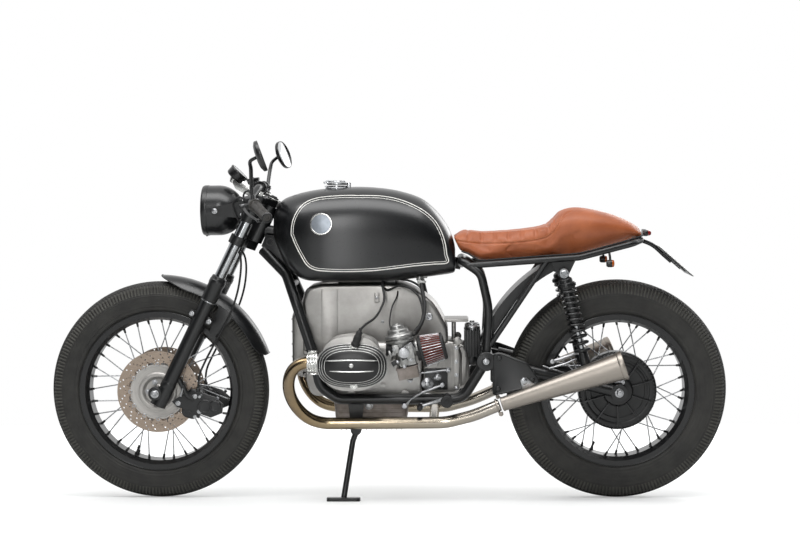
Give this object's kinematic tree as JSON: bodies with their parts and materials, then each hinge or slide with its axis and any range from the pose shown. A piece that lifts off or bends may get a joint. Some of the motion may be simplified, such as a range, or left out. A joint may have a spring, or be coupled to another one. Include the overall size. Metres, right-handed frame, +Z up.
{
  "type": "cafe racer motorcycle",
  "caption": "Single seat cafe racer motorcycle with a flat twin engine, shaft drive, wire wheels and low handlebar, leaning on its side stand.",
  "frame": {"origin": "on the ground under the middle of the whole machine's box as it leans on its stand", "axes": "+X points the way the machine drives, +Y to the rider's left, the side it leans to, +Z up from the ground"},
  "size_m": [2.1649, 0.8035, 1.1863],
  "materials": {
    "tank_paint": "satin black enamel",
    "frame_paint": "satin black enamel",
    "wheel_paint": "gloss black enamel",
    "engine_cast": "bead blasted casting",
    "sump_cast": "painted casting",
    "cover_cast": "dark cast cover with polished ribs",
    "carburettor_cast": "satin casting",
    "fork_chrome": "hard chrome",
    "steel": "zinc plated",
    "disc_steel": "ground",
    "header_steel": "heat tinted",
    "silencer_steel": "brushed",
    "hub_alloy": "polished casting",
    "black_rubber": "moulded",
    "tyre_rubber": "moulded",
    "seat_leather": "tan, semi gloss",
    "lamp_glass": "clear, fluted",
    "lamp_plastic": "moulded",
    "dial_plastic": "moulded",
    "filter_cloth": "oiled pleats",
    "plate_enamel": "gloss"
  },
  "bodies": {
    "frame": {"frame_backbone": "frame_paint", "frame_downtubes": "frame_paint", "frame_lower_rails": "frame_paint", "frame_rear_tubes": "frame_paint", "frame_seat_rail": "frame_paint", "frame_stays": "frame_paint", "engine_case": "engine_cast", "engine_top_cover": "engine_cast", "oil_sump": "sump_cast", "gearbox": "engine_cast", "cylinder_barrels": "engine_cast", "pushrod_tubes": "steel", "cylinder_heads": "engine_cast", "valve_covers": "cover_cast", "carburettors": "carburettor_cast", "air_filters": "filter_cloth", "exhaust_pipes": "header_steel", "silencers": "silencer_steel", "fuel_tank": "tank_paint", "seat": "seat_leather", "swingarm": "frame_paint", "final_drive": "frame_paint", "shaft_boot": "black_rubber", "rear_axle": "steel", "shock_absorbers": "frame_paint", "rear_mudguard": "frame_paint", "number_plate": "plate_enamel", "rear_lamps": "lamp_plastic", "foot_controls": "black_rubber", "side_plates": "frame_paint"},
    "steering": {"lower_yoke": "frame_paint", "upper_yoke": "hub_alloy", "fork_stanchions": "fork_chrome", "fork_sliders": "frame_paint", "front_axle": "steel", "front_mudguard": "tank_paint", "headlight_shell": "tank_paint", "headlight_rim": "fork_chrome", "headlight_lens": "lamp_glass", "headlight_ears": "frame_paint", "handlebar": "frame_paint", "grips": "black_rubber", "control_levers": "frame_paint", "mirrors": "frame_paint", "instrument": "dial_plastic", "brake_calipers": "frame_paint", "brake_hoses": "black_rubber"},
    "front_wheel": {"front_tyre": "tyre_rubber", "front_rim": "wheel_paint", "front_spokes": "steel", "front_hub": "hub_alloy", "brake_discs": "disc_steel"},
    "rear_wheel": {"rear_tyre": "tyre_rubber", "rear_rim": "wheel_paint", "rear_spokes": "steel", "rear_hub": "wheel_paint"},
    "side_stand_leg": {"side_stand": "frame_paint"},
    "filler_lid": {"filler_cap": "fork_chrome"}
  },
  "joints": [
    {"name": "steering_turn", "type": "hinge", "parent": "frame", "child": "steering", "pos_m": [0.4148, -0.00926, 0.84927], "axis": [-0.4415, 0.1093, 0.8906], "range_deg": [-28, 28]},
    {"name": "front_wheel_spin", "type": "hinge", "parent": "steering", "child": "front_wheel", "pos_m": [0.7325, -0.07081, 0.34804], "axis": [0, 0.9925, -0.1219], "continuous": true},
    {"name": "rear_wheel_spin", "type": "hinge", "parent": "frame", "child": "rear_wheel", "pos_m": [-0.7325, -0.07081, 0.34804], "axis": [0, 0.9925, -0.1219], "continuous": true},
    {"name": "side_stand_fold", "type": "hinge", "parent": "frame", "child": "side_stand_leg", "pos_m": [0.095, 0.03639, 0.22002], "axis": [0, 0.9925, -0.1219], "range_deg": [0, 78]},
    {"name": "filler_lid_open", "type": "hinge", "parent": "frame", "child": "filler_lid", "pos_m": [0.119, 0.00975, 1.00411], "axis": [0, -0.9925, 0.1219], "range_deg": [0, 95]}
  ]
}
